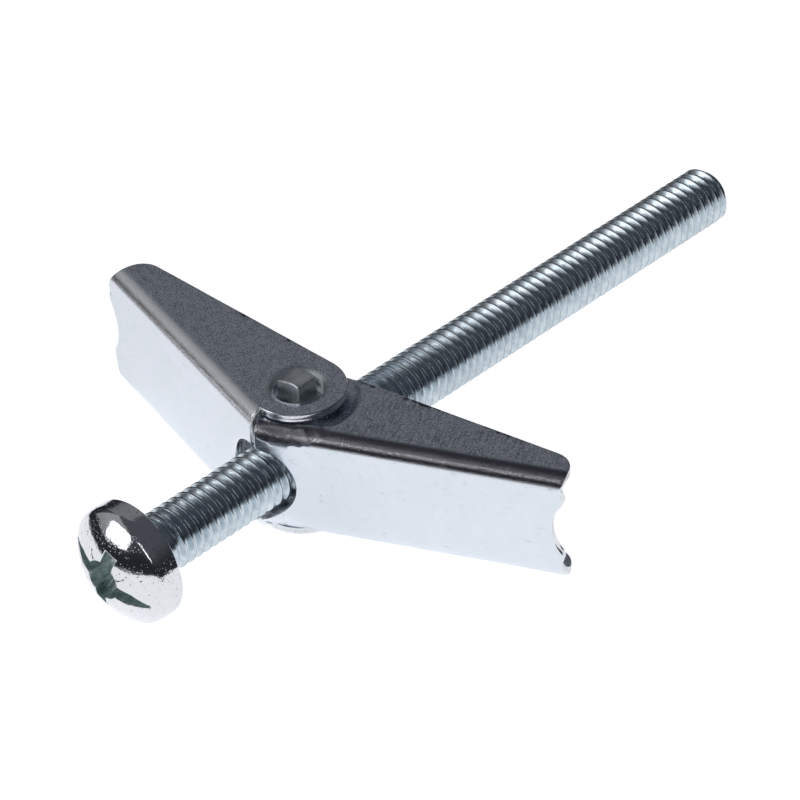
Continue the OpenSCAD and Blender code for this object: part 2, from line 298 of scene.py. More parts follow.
def sheetZinc(name, look, side):
    place, finish = startMetal(name)
    flat = place.mark("sheetPlace", 1)     # place on the flat blank, and depth in the sheet
    fold = place.mark("fold")              # 0 on the web, 1 on the flanges
    edge = place.mark("edge")
    rim = place.mark("rim")
    speckled, darkBend = side["speckled"], side["darkBend"]
    cloud = place.noise(0.35, 3, 0.55)
    mottle = place.noise(1.6, 4, 0.6)
    grain = flat.noise(5.5, 3, 0.65)
    fine = flat.noise(12.0, 2, 0.6)
    bend = fold * (1 - fold) * 4
    brush = flat.stretch((4.5, 0.45, 1.0)).noise(1.0, 3, 0.7)
    patch = flat.stretch((0.25, 0.6, 1.0)).noise(1.0, 2).ramp(0.32, 0.55)
    brushMask = patch * fold * side["brushed"]
    hair = flat.stretch((0.5, 2.6, 1.0)).noise(1.0, 1) - 0.5
    scratches = (1 - hair.size().ramp(0.0, 0.006)) * mottle.ramp(0.5, 0.62)
    dots = (1 - flat.cells(1.1).ramp(0.04, 0.09)) * place.noise(0.5, 2).ramp(0.5, 0.6)
    web = (cloud * 0.6 + mottle * 0.4).ramp(0.40, 0.60).tint(look["web"], look["webShade"])
    # dots and scratches are the sheet's own marks; webPaintedShade is painted shade over a whole web
    web = (dots * 0.4 + scratches * 0.15 + side["webPaintedShade"]).held().tint(web, look["bend"])
    flange = (mottle * 0.15 + grain * 0.55 + fine * 0.3).ramp(0.43, 0.57)
    flange = flange.tint(look["flange"], look["flangeShade"])
    colour = fold.tint(web, flange)
    # the upper half of the blank: the painted bend shade and the painted fold line fall only there
    upper = flat.parts()[1].ramp(-1.0, 1.0)
    # painted shade: on a wing with darkBend the upper bend takes the dark bend colour
    colour = (bend.ramp(0.05, 0.55) * darkBend * upper).tint(colour, look["bend"])
    # a painted highlight: a pale band along the bend of the wing without darkBend
    colour = (bend.ramp(0.1, 0.8) * (1 - darkBend) * 0.9).tint(colour, look["bendPaintedSheen"])
    # painted shade: a dark line at the fold's web side, upper half only
    foldPaintedShade = (1 - (fold - 0.10).size().ramp(0.01, 0.09)) * (grain * 0.6 + fine * 0.4).ramp(0.36, 0.52)
    colour = (foldPaintedShade * (1 - darkBend) * upper * 0.85).tint(colour, look["bend"])
    # a painted glint: a fine bright line along the dark upper bend
    line = (1 - (fold - 0.36).size().ramp(0.02, 0.16)) * (fine * 0.6 + grain * 0.4).ramp(0.44, 0.58)
    colour = (line * darkBend * upper).tint(colour, look["bendPaintedGlint"])
    brushed = brush.ramp(0.50, 0.60) * brushMask * fold.ramp(0.85, 1.0)
    colour = (brushed * 0.55).tint(colour, look["brushLine"])
    # a painted reflection: a bright ring round the holes
    colour = (rim * 0.8).tint(colour, look["holeRimPaintedSheen"])
    colour = (edge * 0.6).tint(colour, look["edge"])
    bendRoughness = look["bendRoughness"] if darkBend else look["paleRoughness"]
    roughness = (
        look["webRoughness"] + fold * (look["flangeRoughness"] - look["webRoughness"])
        - bend * (look["flangeRoughness"] - bendRoughness)
        + (mottle - 0.5) * 0.12 + (grain - 0.5) * 0.16 + scratches * 0.1 - edge * 0.06 + rim * 0.10
    )
    height = (
        grain * (0.25 + fold * 0.6 + bend * speckled)
        + fine * (0.15 + bend * speckled * 0.6)
        + brush * brushMask * 1.6
        - scratches * 0.4 - dots * 0.6
    )
    return finish(colour, roughness, height, look["grainDepth"])


cutLook = {
    "colour": (0.62, 0.66, 0.66),
    "shade": (0.42, 0.46, 0.46),
    "tang": (0.90, 0.93, 0.96),
    "tangShade": (0.66, 0.69, 0.73),
    "tangFrom": 4.2,        # height where the studs' brighter metal starts
    "roughness": 0.22,
    "tangRoughness": 0.26,
    "grainDepth": 0.02,
}


def cutZinc(look):
    place, finish = startMetal("cutZinc")
    cloud = place.noise(0.9, 3, 0.6)
    grain = place.noise(6.0, 3, 0.65)
    shear = place.stretch((9.0, 9.0, 0.8)).noise(1.0, 3, 0.7)
    mix = (cloud * 0.6 + shear * 0.4).ramp(0.35, 0.65)
    tang = place.parts()[2].size().ramp(look["tangFrom"], look["tangFrom"] + 0.3)
    colour = tang.tint(mix.tint(look["colour"], look["shade"]), mix.tint(look["tang"], look["tangShade"]))
    roughness = look["roughness"] + tang * (look["tangRoughness"] - look["roughness"])
    roughness = roughness + cloud * 0.1 + grain * 0.1
    return finish(colour, roughness, grain * 0.5 + shear * 0.6, look["grainDepth"])


# A painted highlight: bright metal on the nut's bevelled edges, standing in for the glints along them
edgeHighlightLook = {
    "colour": (0.92, 0.94, 0.96),
    "shade": (0.74, 0.77, 0.80),
    "roughness": 0.34,
    "grainDepth": 0.012,
}


def paintedEdgeHighlight(look):
    place, finish = startMetal("paintedEdgeHighlight")
    cloud = place.noise(1.8, 3, 0.6)
    grain = place.noise(9.0, 3, 0.6)
    colour = cloud.ramp(0.35, 0.65).tint(look["colour"], look["shade"])
    return finish(colour, look["roughness"] + grain * 0.12, grain + cloud * 0.4, look["grainDepth"])


wireLook = {
    "colour": (0.42, 0.43, 0.45),
    "shade": (0.25, 0.255, 0.27),
    "roughness": 0.26,
    "grainDepth": 0.006,
}


def springWire(look):
    place, finish = startMetal("springWire")
    cloud = place.noise(1.1, 3, 0.6)
    drawn = place.stretch((1.0, 1.0, 9.0)).noise(2.0, 3, 0.7)
    colour = (cloud * 0.5 + drawn * 0.5).ramp(0.35, 0.65).tint(look["colour"], look["shade"])
    return finish(colour, look["roughness"] + drawn * 0.14, drawn, look["grainDepth"])


headMetal = headZinc(headLook)
recessMetal = recessZinc(recessLook)
threadMetal = threadZinc(threadLook)
cutMetal = cutZinc(cutLook)
edgeHighlightMetal = paintedEdgeHighlight(edgeHighlightLook)
wireMetal = springWire(wireLook)
print("finishes made")


# The next few work on plane outlines for the head and the wings.
# This one resamples a closed loop so that no part is longer than step, and keeps its corners
def spaced(loop, step):
    out = []
    for a, b in zip(loop, loop[1:] + loop[:1]):
        a, b = np.array(a), np.array(b)
        count = max(1, math.ceil(np.linalg.norm(b - a) / step - 1e-9))
        out += [tuple(a + (b - a) * i / count) for i in range(count)]
    return out


def arc(centre, r, start, end, step):
    count = max(2, math.ceil(abs(end - start) * r / step))
    return [polar(r, start + (end - start) * i / count, *centre) for i in range(count + 1)]


def withoutRepeats(loop, least=0.02):
    out = []
    for p in loop:
        if not out or math.dist(p, out[-1]) > least:
            out.append(p)
    while math.dist(out[0], out[-1]) <= least:
        out.pop()
    return out


# Moves a closed loop to its left by distance, one value or one for each point
def inset(loop, distance):
    p = np.array(loop)
    ahead = np.roll(p, -1, axis=0) - p
    ahead /= np.linalg.norm(ahead, axis=1)[:, None]
    left = np.stack([-ahead[:, 1], ahead[:, 0]], axis=1)
    both = left + np.roll(left, 1, axis=0)
    scale = 2 / np.clip((both ** 2).sum(axis=1), 1.6, 4.0)
    return p + both * (scale * distance)[:, None]


def insideLoop(points, loop):
    p = np.asarray(points)
    a = np.asarray(loop)
    b = np.roll(a, -1, axis=0)
    inside = np.zeros(len(p), bool)
    for (ax, ay), (bx, by) in zip(a, b):
        crosses = (ay > p[:, 1]) != (by > p[:, 1])
        with np.errstate(divide="ignore", invalid="ignore"):
            x = ax + (p[:, 1] - ay) * (bx - ax) / (by - ay)
        inside ^= crosses & (p[:, 0] < x)
    return inside


def nearLoop(points, loop, distance):
    p = np.asarray(points)
    a = np.asarray(loop)
    b = np.roll(a, -1, axis=0)
    near = np.zeros(len(p), bool)
    for u, v in zip(a, b):
        way = v - u
        t = np.clip(((p - u) @ way) / (way @ way), 0, 1)
        near |= np.linalg.norm(p - (u + t[:, None] * way), axis=1) < distance
    return near


def betweenLoops(points, loops):
    keep = insideLoop(points, loops[0])
    for hole in loops[1:]:
        keep &= ~insideLoop(points, hole)
    return keep


# Triangles between an outer loop and its holes, on free points as well. Gives the points, the triangles
# and for each loop the numbers of its points
def fillPlane(outer, holes, free, keepOff):
    loops = [np.asarray(outer)] + [np.asarray(h) for h in holes]
    free = np.asarray(free)
    free = free[betweenLoops(free, loops)]
    for loop in loops:
        free = free[~nearLoop(free, loop, keepOff)]
    points = np.concatenate(loops + [free])
    edges, start = [], 0
    for loop in loops:
        n = len(loop)
        edges += [(start + i, start + (i + 1) % n) for i in range(n)]
        start += n
    made = delaunay_2d_cdt([Vector(p) for p in points], edges, [], 0, 1e-7, True)
    fromOld = {}
    for new, olds in enumerate(made[3]):
        for old in olds:
            fromOld.setdefault(old, new)
    spots = np.array([tuple(v) for v in made[0]])
    faces = np.array([f for f in made[2]])
    faces = faces[betweenLoops(spots[faces].mean(axis=1), loops)]
    a, b, c = (spots[faces[:, i]] for i in range(3))
    turned = (b - a)[:, 0] * (c - a)[:, 1] - (b - a)[:, 1] * (c - a)[:, 0] < 0
    faces[turned] = faces[turned][:, ::-1]
    loopIds, start = [], 0
    for loop in loops:
        loopIds.append([fromOld[start + i] for i in range(len(loop))])
        start += len(loop)
    return spots, [tuple(int(i) for i in f) for f in faces], loopIds


# The screw's head
screwHigh = boxMm("screw")[1]
headShape = {
    "radius": screwHigh[0],
    "height": 4.8,
    "rimHeight": 1.6,      # height of the middle of the rim's round
    "rimRound": 1.5,
    "underRound": 0.25,
    "neckRadius": 2.7,
    "turn": -17.5,         # of the recess about the screw
    "slotWidth": 1.4,
    "slotDepth": 1.9,
    "slotMargin": 0.75,
    "armReach": 3.2,
    "crossDepth": 3.0,
    "coreRadius": 1.95,
    "coreFloor": 1.3,
    "draft": 0.10,
    "lip": 0.13,           # round of the recess's mouth
    "tickStart": 2.05,     # the four small strokes between the arms
    "tickEnd": 3.0,
    "tickWidth": 0.16,
    "tickDepth": 0.15,
    "grid": 0.16,
    "mouthStep": 0.12,
    "keepOff": 0.05,
    "capRadius": 5.0,      # inside it the dome is triangles, and outside it rings
}


def makeHead(shape):
    radius, height, rimHeight, rimRound = (shape[k] for k in ("radius", "height", "rimHeight", "rimRound"))
    rimX = radius - rimRound
    domeCentre = (rimX ** 2 + rimHeight ** 2 - (height - rimRound) ** 2) / 2 / (rimHeight - height + rimRound)
    domeRadius = height - domeCentre
    touch = math.atan2(rimHeight - domeCentre, rimX)
    half = shape["slotWidth"] / 2
    arm = shape["armReach"]
    reach = radius - shape["slotMargin"]
    core = shape["coreRadius"]
    slotFloor = height - shape["slotDepth"]
    crossFloor = height - shape["crossDepth"]
    cap, grid = shape["capRadius"], shape["grid"]
    dome = lambda r: domeCentre + np.sqrt(domeRadius ** 2 - np.asarray(r) ** 2)

    # the mouth of the recess is seen whole from its middle, so one radius for each angle draws it
    def mouthAt(angle):
        best = core
        for k in range(4):
            a = (angle - k * math.pi / 2 + math.pi) % (2 * math.pi) - math.pi
            if abs(a) < math.pi / 2 - 0.01:
                c, s = math.cos(a), abs(math.sin(a))
                across = half / s if s > 1e-9 else farOff
                if k % 2 == 0:
                    slope = half / (reach - arm)
                    tapered = slope * reach / (s + slope * c)
                    best = max(best, min(across, tapered))
                else:
                    best = max(best, min(across, arm / c))
        return best

    armCorner, coreCorner = math.atan2(half, arm), math.asin(half / core)
    corner = [armCorner, math.pi / 2 - armCorner, coreCorner, math.pi / 2 - coreCorner]
    angles = set(round(i * math.pi / 120, 9) for i in range(240))
    for a in corner:
        angles |= {round((sign * a) % math.pi + k * math.pi, 9) for sign in (1, -1) for k in (0, 1)}
    angles = sorted(angles)
    angles = [a for a, b in zip(angles, angles[1:] + [farOff]) if b - a > 0.002]
    mouth = [polar(mouthAt(a), a) for a in angles]
    mouth = spaced(withoutRepeats(mouth, 0.03), shape["mouthStep"])

    lip = shape["lip"]
    outerLoop = arc((0, 0), cap, 0, 2 * math.pi, grid)[:-1]
    lipLoop = inset(mouth, -lip)

    # free points: a fine grid, and the strokes between the arms with their own low middle line
    n = int((cap + 0.2) / grid)
    free = [
        (i * grid + (j % 2) * grid / 2, j * grid * 0.87)
        for i in range(-n, n + 1) for j in range(-n - 5, n + 6)
    ]
    tickPoints, tickSteps = [], 12
    for k in range(4):
        a = math.pi / 4 + k * math.pi / 2
        way, side = np.array([math.cos(a), math.sin(a)]), np.array([-math.sin(a), math.cos(a)])
        for i in range(tickSteps + 1):
            t = i / tickSteps
            r = shape["tickStart"] + (shape["tickEnd"] - shape["tickStart"]) * t
            w = shape["tickWidth"] * math.sin(math.pi * min(1, 0.15 + t * 0.85)) ** 0.5
            tickPoints.append((tuple(way * r), 1.0 - 0.6 * t))
            if 0 < i < tickSteps:
                tickPoints.append((tuple(way * r + side * w), 0.0))
                tickPoints.append((tuple(way * r - side * w), 0.0))
    tickSpots = np.array([p for p, depth in tickPoints])
    free = np.array(free)
    near = np.min(np.linalg.norm(free[:, None, :] - tickSpots[None, :, :], axis=2), axis=1) < 0.12
    free = np.concatenate([free[~near], tickSpots])

    spots, faces, loops = fillPlane(outerLoop, [lipLoop], free, shape["keepOff"])
    heights = dome(np.linalg.norm(spots, axis=1))
    normals = np.concatenate([spots / domeRadius, ((heights - domeCentre) / domeRadius)[:, None]], axis=1)
    for (x, y), depth in tickPoints:
        i = int(np.argmin((spots[:, 0] - x) ** 2 + (spots[:, 1] - y) ** 2))
        heights[i] -= depth * shape["tickDepth"]
        normals[i] = 0
    points = [(x, y, h) for (x, y), h in zip(spots, heights)]
    normals = [tuple(v) for v in normals]
    finish = [0] * len(faces)

    def addRing(ring, ringNormals=None):
        start = len(points)
        points.extend(ring)
        normals.extend(ringNormals if ringNormals is not None else [(0, 0, 0)] * len(ring))
        return list(range(start, start + len(ring)))

    def bridge(a, b, which):
        m = len(a)
        for i in range(m):
            faces.append((a[i], a[(i + 1) % m], b[(i + 1) % m], b[i]))
            finish.append(which)

    # the rounded lip, the drafted wall and the stepped floor of the recess
    floorInset = shape["draft"]

    def floorHeight(x, y):
        r = math.hypot(x, y)
        low = farOff
        if abs(y) <= half + 1e-6 or r > core:
            low = slotFloor
        for along, across in ((abs(x), abs(y)), (abs(y), abs(x))):
            if across <= half + 1e-6 and along <= arm + 1e-6:
                t = (along - arm / 2) / (arm / 2)
                low = min(low, crossFloor + max(0.0, t) * (slotFloor - crossFloor))
        if r < core:
            t = (r - shape["coreFloor"]) / (core - shape["coreFloor"])
            low = min(low, crossFloor + max(0.0, t) * (dome(r) - 0.25 - crossFloor))
        return low

    previous = loops[1]
    lipSteps = 4
    for i in range(1, lipSteps + 1):
        a = math.pi / 2 * i / lipSteps
        ring = inset(mouth, -lip * (1 - math.sin(a)))
        level = dome(np.linalg.norm(ring, axis=1)) - lip * (1 - math.cos(a))
        ids = addRing([(x, y, h) for (x, y), h in zip(ring, level)])
        bridge(previous, ids, 0 if i < lipSteps else 1)
        previous = ids
    floorLoop = inset(mouth, floorInset)
    floorLevel = np.array([floorHeight(x, y) for x, y in inset(mouth, floorInset * 1.02)])
    mouthLevel = dome(np.linalg.norm(mouth, axis=1)) - lip
    floorLevel = np.minimum(floorLevel, mouthLevel - 0.04)
    for t in (0.33, 0.66, 1.0):
        ring = inset(mouth, floorInset * t)
        level = mouthLevel + (floorLevel - mouthLevel) * t
        ids = addRing([(x, y, h) for (x, y), h in zip(ring, level)])
        bridge(previous, ids, 1)
        previous = ids
    inner = [(i * 0.17 + (j % 2) * 0.085, j * 0.15) for i in range(-32, 33) for j in range(-24, 25)]
    floorSpots, floorFaces, floorLoops = fillPlane(floorLoop, [], inner, shape["keepOff"])
    ids = {loopId: previous[i] for i, loopId in enumerate(floorLoops[0])}
    for i, (x, y) in enumerate(floorSpots):
        if i not in ids:
            ids[i] = len(points)
            points.append((x, y, floorHeight(x, y)))
            normals.append((0, 0, 0))
    for f in floorFaces:
        faces.append(tuple(ids[i] for i in f))
        finish.append(1)

    # the rest of the dome, the rim, the side and the underside, turned about the screw
    def turned(r, angle, x, h):
        return (*polar(r, angle, x, h), *polar(1.0, angle))

    start, under = math.acos(cap / domeRadius), shape["underRound"]
    domeSteps, rimSteps, underSteps = 6, 14, 6
    section = [
        turned(domeRadius, start + (touch - start) * i / domeSteps, 0.0, domeCentre)
        for i in range(1, domeSteps + 1)
    ]
    section += [turned(rimRound, touch * (1 - i / rimSteps), rimX, rimHeight) for i in range(1, rimSteps + 1)]
    section.append((radius, (rimHeight + under) / 2, 1, 0))
    section += [
        turned(under, -math.pi / 2 * i / underSteps, radius - under, under) for i in range(underSteps + 1)
    ]
    section.append((shape["neckRadius"] - 0.15, 0.0, 0, -1))
    outer = np.array(outerLoop)[::-1] / cap
    previous = loops[0][::-1]
    for r, h, nr, nh in section:
        ids = addRing([(x * r, y * r, h) for x, y in outer], [(x * nr, y * nr, nh) for x, y in outer])
        bridge(previous, ids, 0)
        previous = ids
    faces.append(tuple(previous[::-1]))
    finish.append(0)

    # stands the head on the screw: plan x to X, plan y to Z, height to -Y
    stand = np.array([[1, 0, 0], [0, 0, -1], [0, 1, 0]]) @ spinMatrix(math.radians(shape["turn"]))
    return makeMesh(
        "screwHead", np.array(points) @ stand.T, faces, [headMetal, recessMetal], faceMaterial=finish,
        normals=np.array(normals) @ stand.T,
    )


screwHead = makeHead(headShape)
print("head made", len(screwHead.data.polygons))


# The screw's rolled thread
threadShape = {
    "radius": 3.0,
    "pitch": 1.0,
    "length": screwHigh[1],
    "neck": 2.7,            # radius of the plain neck
    "runOut": (1.7, 2.9),   # where the neck grows into the thread
    "tipChamfer": 0.8,
    "phase": 0.22,          # of the crest, in turns
    "segments": 72,
    # one pitch of the section: place along it, and radius below the crest
    "section": (
        (-0.10, 0.10), (-0.055, 0.012), (0.0, 0.05), (0.055, 0.012), (0.10, 0.10),    # crest
        (0.36, 0.55), (0.43, 0.61), (0.57, 0.61), (0.64, 0.55),                       # root
    ),
}


def makeThread(shape):
    segments, pitch = shape["segments"], shape["pitch"]
    section = np.array(shape["section"])
    perPitch = len(section)
    turns = int(shape["length"] / pitch) + 4
    column = np.concatenate([section[:, 0] + k for k in range(-2, turns)]) * pitch
    drop = np.tile(section[:, 1], turns + 2)
    angle = 2 * math.pi * np.arange(segments) / segments
    y = column[:, None] + (np.arange(segments)[None, :] / segments + shape["phase"]) * pitch
    r = np.repeat((shape["radius"] - drop)[:, None], segments, axis=1)
    low, high = shape["runOut"]
    grown = smooth((y - low) / (high - low))
    r = shape["neck"] + (r - shape["neck"]) * grown
    r = np.minimum(r, shape["radius"] - shape["tipChamfer"] + (shape["length"] - y).clip(min=-0.7))
    # right-handed: the crest moves along +Y as the angle turns from X towards -Z
    points = np.stack([r * np.cos(angle), y, -r * np.sin(angle)], axis=2).reshape(-1, 3)
    faces = []
    rows = len(column)
    for i in range(rows - 1):
        for j in range(segments - 1):
            a = i * segments + j
            faces.append((a, a + 1, a + segments + 1, a + segments))
    # the last column meets the first one pitch further on
    for i in range(rows - perPitch - 1):
        a, b = i * segments + segments - 1, (i + perPitch) * segments
        faces.append((a, b, b + segments, a + segments))
    made = makeMesh("screwThread", points, faces, [threadMetal])
    work = bmesh.new()
    work.from_mesh(made.data)
    for place, way in ((0.0, -1), (shape["length"], 1)):
        bmesh.ops.bisect_plane(
            work, geom=work.verts[:] + work.edges[:] + work.faces[:], dist=1e-7,
            plane_co=(0, place * metresPerMm, 0), plane_no=(0, way, 0), clear_outer=True,
        )
        onPlane = lambda edge: all(abs(v.co.y - place * metresPerMm) < 1e-6 for v in edge.verts)
        rim = [e for e in work.edges if e.is_boundary and onPlane(e)]
        cap = bmesh.ops.holes_fill(work, edges=rim, sides=0)["faces"]
        for face in cap:
            face.smooth = False
    loose = [v for v in work.verts if not v.link_faces]
    bmesh.ops.delete(work, geom=loose, context="VERTS")
    bmesh.ops.recalc_face_normals(work, faces=work.faces[:])
    work.to_mesh(made.data)
    work.free()
    made.modifiers.new("evenShade", "WEIGHTED_NORMAL").weight = 60
    return made


screwThread = makeThread(threadShape)
print("thread made", len(screwThread.data.polygons))
for piece in (screwHead, screwThread):
    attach(piece, "screw")
    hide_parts("screw")


# The wings: one blank each, drawn flat and folded
nutLow, nutHigh = boxMm("nut")
hingeY = (nutLow[1] + nutHigh[1]) / 2
rightLow, rightHigh = boxMm("wing_right")
leftLow, leftHigh = boxMm("wing_left")

wingShape = {
    "sheet": 0.8,
    "length": 27.3,
    "webInside": 4.997,
    "bendOuter": 1.7,
    "earRadius": 4.697,
    "holeRadius": 2.252,
    "taper": 15.2,
    "cornerRadius": 2.2,
    "lobeRadius": 1.0,
    "lobeSpread": 3.3,
    "scallopDepth": 1.15,
    "endSetBack": 0.3,
    "reliefLine": 4.147,
    "buttGap": 0.2,
    "notchRadius": 3.75,
    "notchDrop": 0.6,
    "notchFlare": 40.0,
    "rollOver": 0.12,       # round of the cut edges on the outer side
    "notchRoll": 0.28,      # the same round the notch
    "holeRoll": 0.42,       # and round the holes
    "burr": 0.05,           # and on the inner side of them all
    "grid": 0.5,            # spacing of the points on the skins
    "edgeStep": 0.4,        # and on the outline
    "keepOff": 0.16,        # how near the outline a point of the grid may lie
    "dish": 0.30,           # how far the outer skin round the holes is coined down
    "dishWidth": 1.2,
    "rimWidth": 0.6,        # the ring round them that is painted bright, a painted reflection
    "wave": 0.012,          # slow unevenness of the rolled sheet, from calmRadius round the hinge on
    "calmRadius": 7.0,
    "calmWidth": 4.0,
    "setInFade": 1.4,
}

wingRightLook = {
    "name": "wingRight",
    "body": "wing_right",
    "mirror": 1,
    "halfHeight": (rightHigh[2] - rightLow[2]) / 2,
    "rise": (rightHigh[2] + rightLow[2]) / 2,
    "lean": 26.5,
    "flangeBack": -0.2,    # how far the flanges stop short of the lobes
    "setIn": 0.4,          # how far the ears go in, and within which radius
    "setInRadius": 6.0,
    "brushed": 1.0,
    "speckled": 2.4,
    # darkBend 1: a painted dark upper bend with a painted glint line; 0: a painted pale sheen on the bend
    # with a painted shade line at the fold
    "darkBend": 1,
    "webPaintedShade": 0.0,
}

wingLeftLook = {
    "name": "wingLeft",
    "body": "wing_left",
    "mirror": -1,
    "halfHeight": (leftHigh[2] - leftLow[2]) / 2,
    "rise": (leftHigh[2] + leftLow[2]) / 2,
    "lean": 14.4,
    "flangeBack": 1.4,
    "setIn": 0.0,
    "setInRadius": 0.0,
    "brushed": 0.15,
    "speckled": 0.8,
    "darkBend": 0,
    # painted shade: this wing's web is drawn darker
    "webPaintedShade": 0.15,
}


def wingLoop(shape, side):
    lean = math.radians(side["lean"])
    bend = shape["bendOuter"]
    webOffset = shape["webInside"] + shape["sheet"]
    bendPaintedGlint = webOffset - bend
    flat = side["halfHeight"] - bend
    flange = flat + bend * math.pi / 2
    ear = shape["earRadius"]
    root = shape["buttGap"] / 2 / math.cos(lean) - shape["webInside"] * math.tan(lean)
    relief = root + (shape["webInside"] - shape["reliefLine"]) * math.tan(lean)
    end = shape["length"] - shape["endSetBack"]
    taper = math.radians(shape["taper"])
    step = 0.22

    # u of a point in the side view, where y runs away from the web
    def uOfY(y):
        if y >= -bendPaintedGlint:
            return flange + y + bendPaintedGlint
        return flange - bend * math.asin(min(1.0, (-bendPaintedGlint - y) / bend))

    # u of a point seen square on the web
    def uOfZ(z):
        if abs(z) <= flat:
            return z
        return math.copysign(flat + bend * math.asin(min(1.0, (abs(z) - flat) / bend)), z)

    lobe = (shape["length"] - shape["lobeRadius"], shape["lobeSpread"])
    depth, spread, small = shape["scallopDepth"], shape["lobeSpread"], shape["lobeRadius"]
    scallop = (depth ** 2 + spread ** 2) / (2 * depth) - small
    scallopCentre = shape["length"] - depth + scallop
    toward = math.atan2(-lobe[1], scallopCentre - lobe[0])
    inner = polar(small, toward, *lobe)
    gap = (end - lobe[0], flat - lobe[1])
    far = math.hypot(*gap)
    outerAngle = math.atan2(gap[1], gap[0])
    if far > small + 0.01:
        outerAngle -= math.acos(small / far)
    innerAngle = math.atan2(inner[1] - lobe[1], inner[0] - lobe[0])
    scallopEnd = math.atan2(inner[1], inner[0] - scallopCentre) % (2 * math.pi)
    chain = arc((scallopCentre, 0), scallop, math.pi, scallopEnd, step)
    chain += arc(lobe, small, innerAngle, outerAngle, step / 2)
    tangent = (ear * math.sin(taper), ear * math.cos(taper))
    flangeEnd = shape["length"] - side["flangeBack"]
    cornerX = flangeEnd - shape["cornerRadius"]
    cornerY = tangent[1] - (cornerX - tangent[0]) * math.tan(taper) - shape["cornerRadius"] / math.cos(taper)
    # the end slants over the bend from the web to the flange
    turned = math.acos(min(1.0, max(0.0, (-bendPaintedGlint - cornerY) / bend)))
    bendSteps = 6
    for i in range(bendSteps + 1):
        a = turned * i / bendSteps
        chain.append((end + (flangeEnd - end) * math.sin(a), flat + bend * a))
    earEnd = math.pi + math.asin(shape["reliefLine"] / ear)
    rounds = arc((cornerX, cornerY), shape["cornerRadius"], 0, math.pi / 2 - taper, step)
    rounds += arc((0, 0), ear, math.pi / 2 - taper, earEnd, step)
    chain += [(x, uOfY(y)) for x, y in rounds]
    # below the ear the edge follows the other wing's lean to the web
    earFoot = -math.sqrt(ear ** 2 - shape["reliefLine"] ** 2)
    if side["setIn"] or relief < earFoot:
        chain.append((relief, uOfY(-shape["reliefLine"])))
    else:
        y = -shape["reliefLine"]
        while y > -ear:
            y -= 0.02
            x = -math.sqrt(max(0.0, ear ** 2 - y ** 2))
            if x > relief - (-shape["reliefLine"] - y) * math.tan(lean):
                break
            chain.append((x, uOfY(y)))
        relief = relief - (-shape["reliefLine"] - y) * math.tan(lean)
        chain.append((relief, uOfY(y)))
    chain.append((root, uOfY(-shape["webInside"])))
    chain = withoutRepeats(chain)

    notch, drop = shape["notchRadius"], shape["notchDrop"]
    flare = math.radians(shape["notchFlare"])
    notchArc = arc((root, -drop), notch, math.pi / 2, -math.pi / 2 + flare, step)
    foot = (root + notch * math.sin(flare), -drop - notch * math.cos(flare))
    runZ = foot[1] - (foot[0] - root) * math.tan(flare)
    steps = 8
    notchRun = [
        (foot[0] + (root - foot[0]) * i / steps, foot[1] + (runZ - foot[1]) * i / steps)
        for i in range(1, steps + 1)
    ]
    notchPart = [(x, uOfZ(z)) for x, z in notchArc + notchRun]
    lower = [(x, -u) for x, u in chain[::-1]]
    loop = withoutRepeats(chain + notchPart + lower[:-1])
    hole = arc((0, flange + bendPaintedGlint), shape["holeRadius"], 0, 2 * math.pi, 0.16)[:-1]
    holes = [hole, [(x, -u) for x, u in hole[::-1]]]
    return spaced(loop, shape["edgeStep"]), holes, flat, flange, bendPaintedGlint


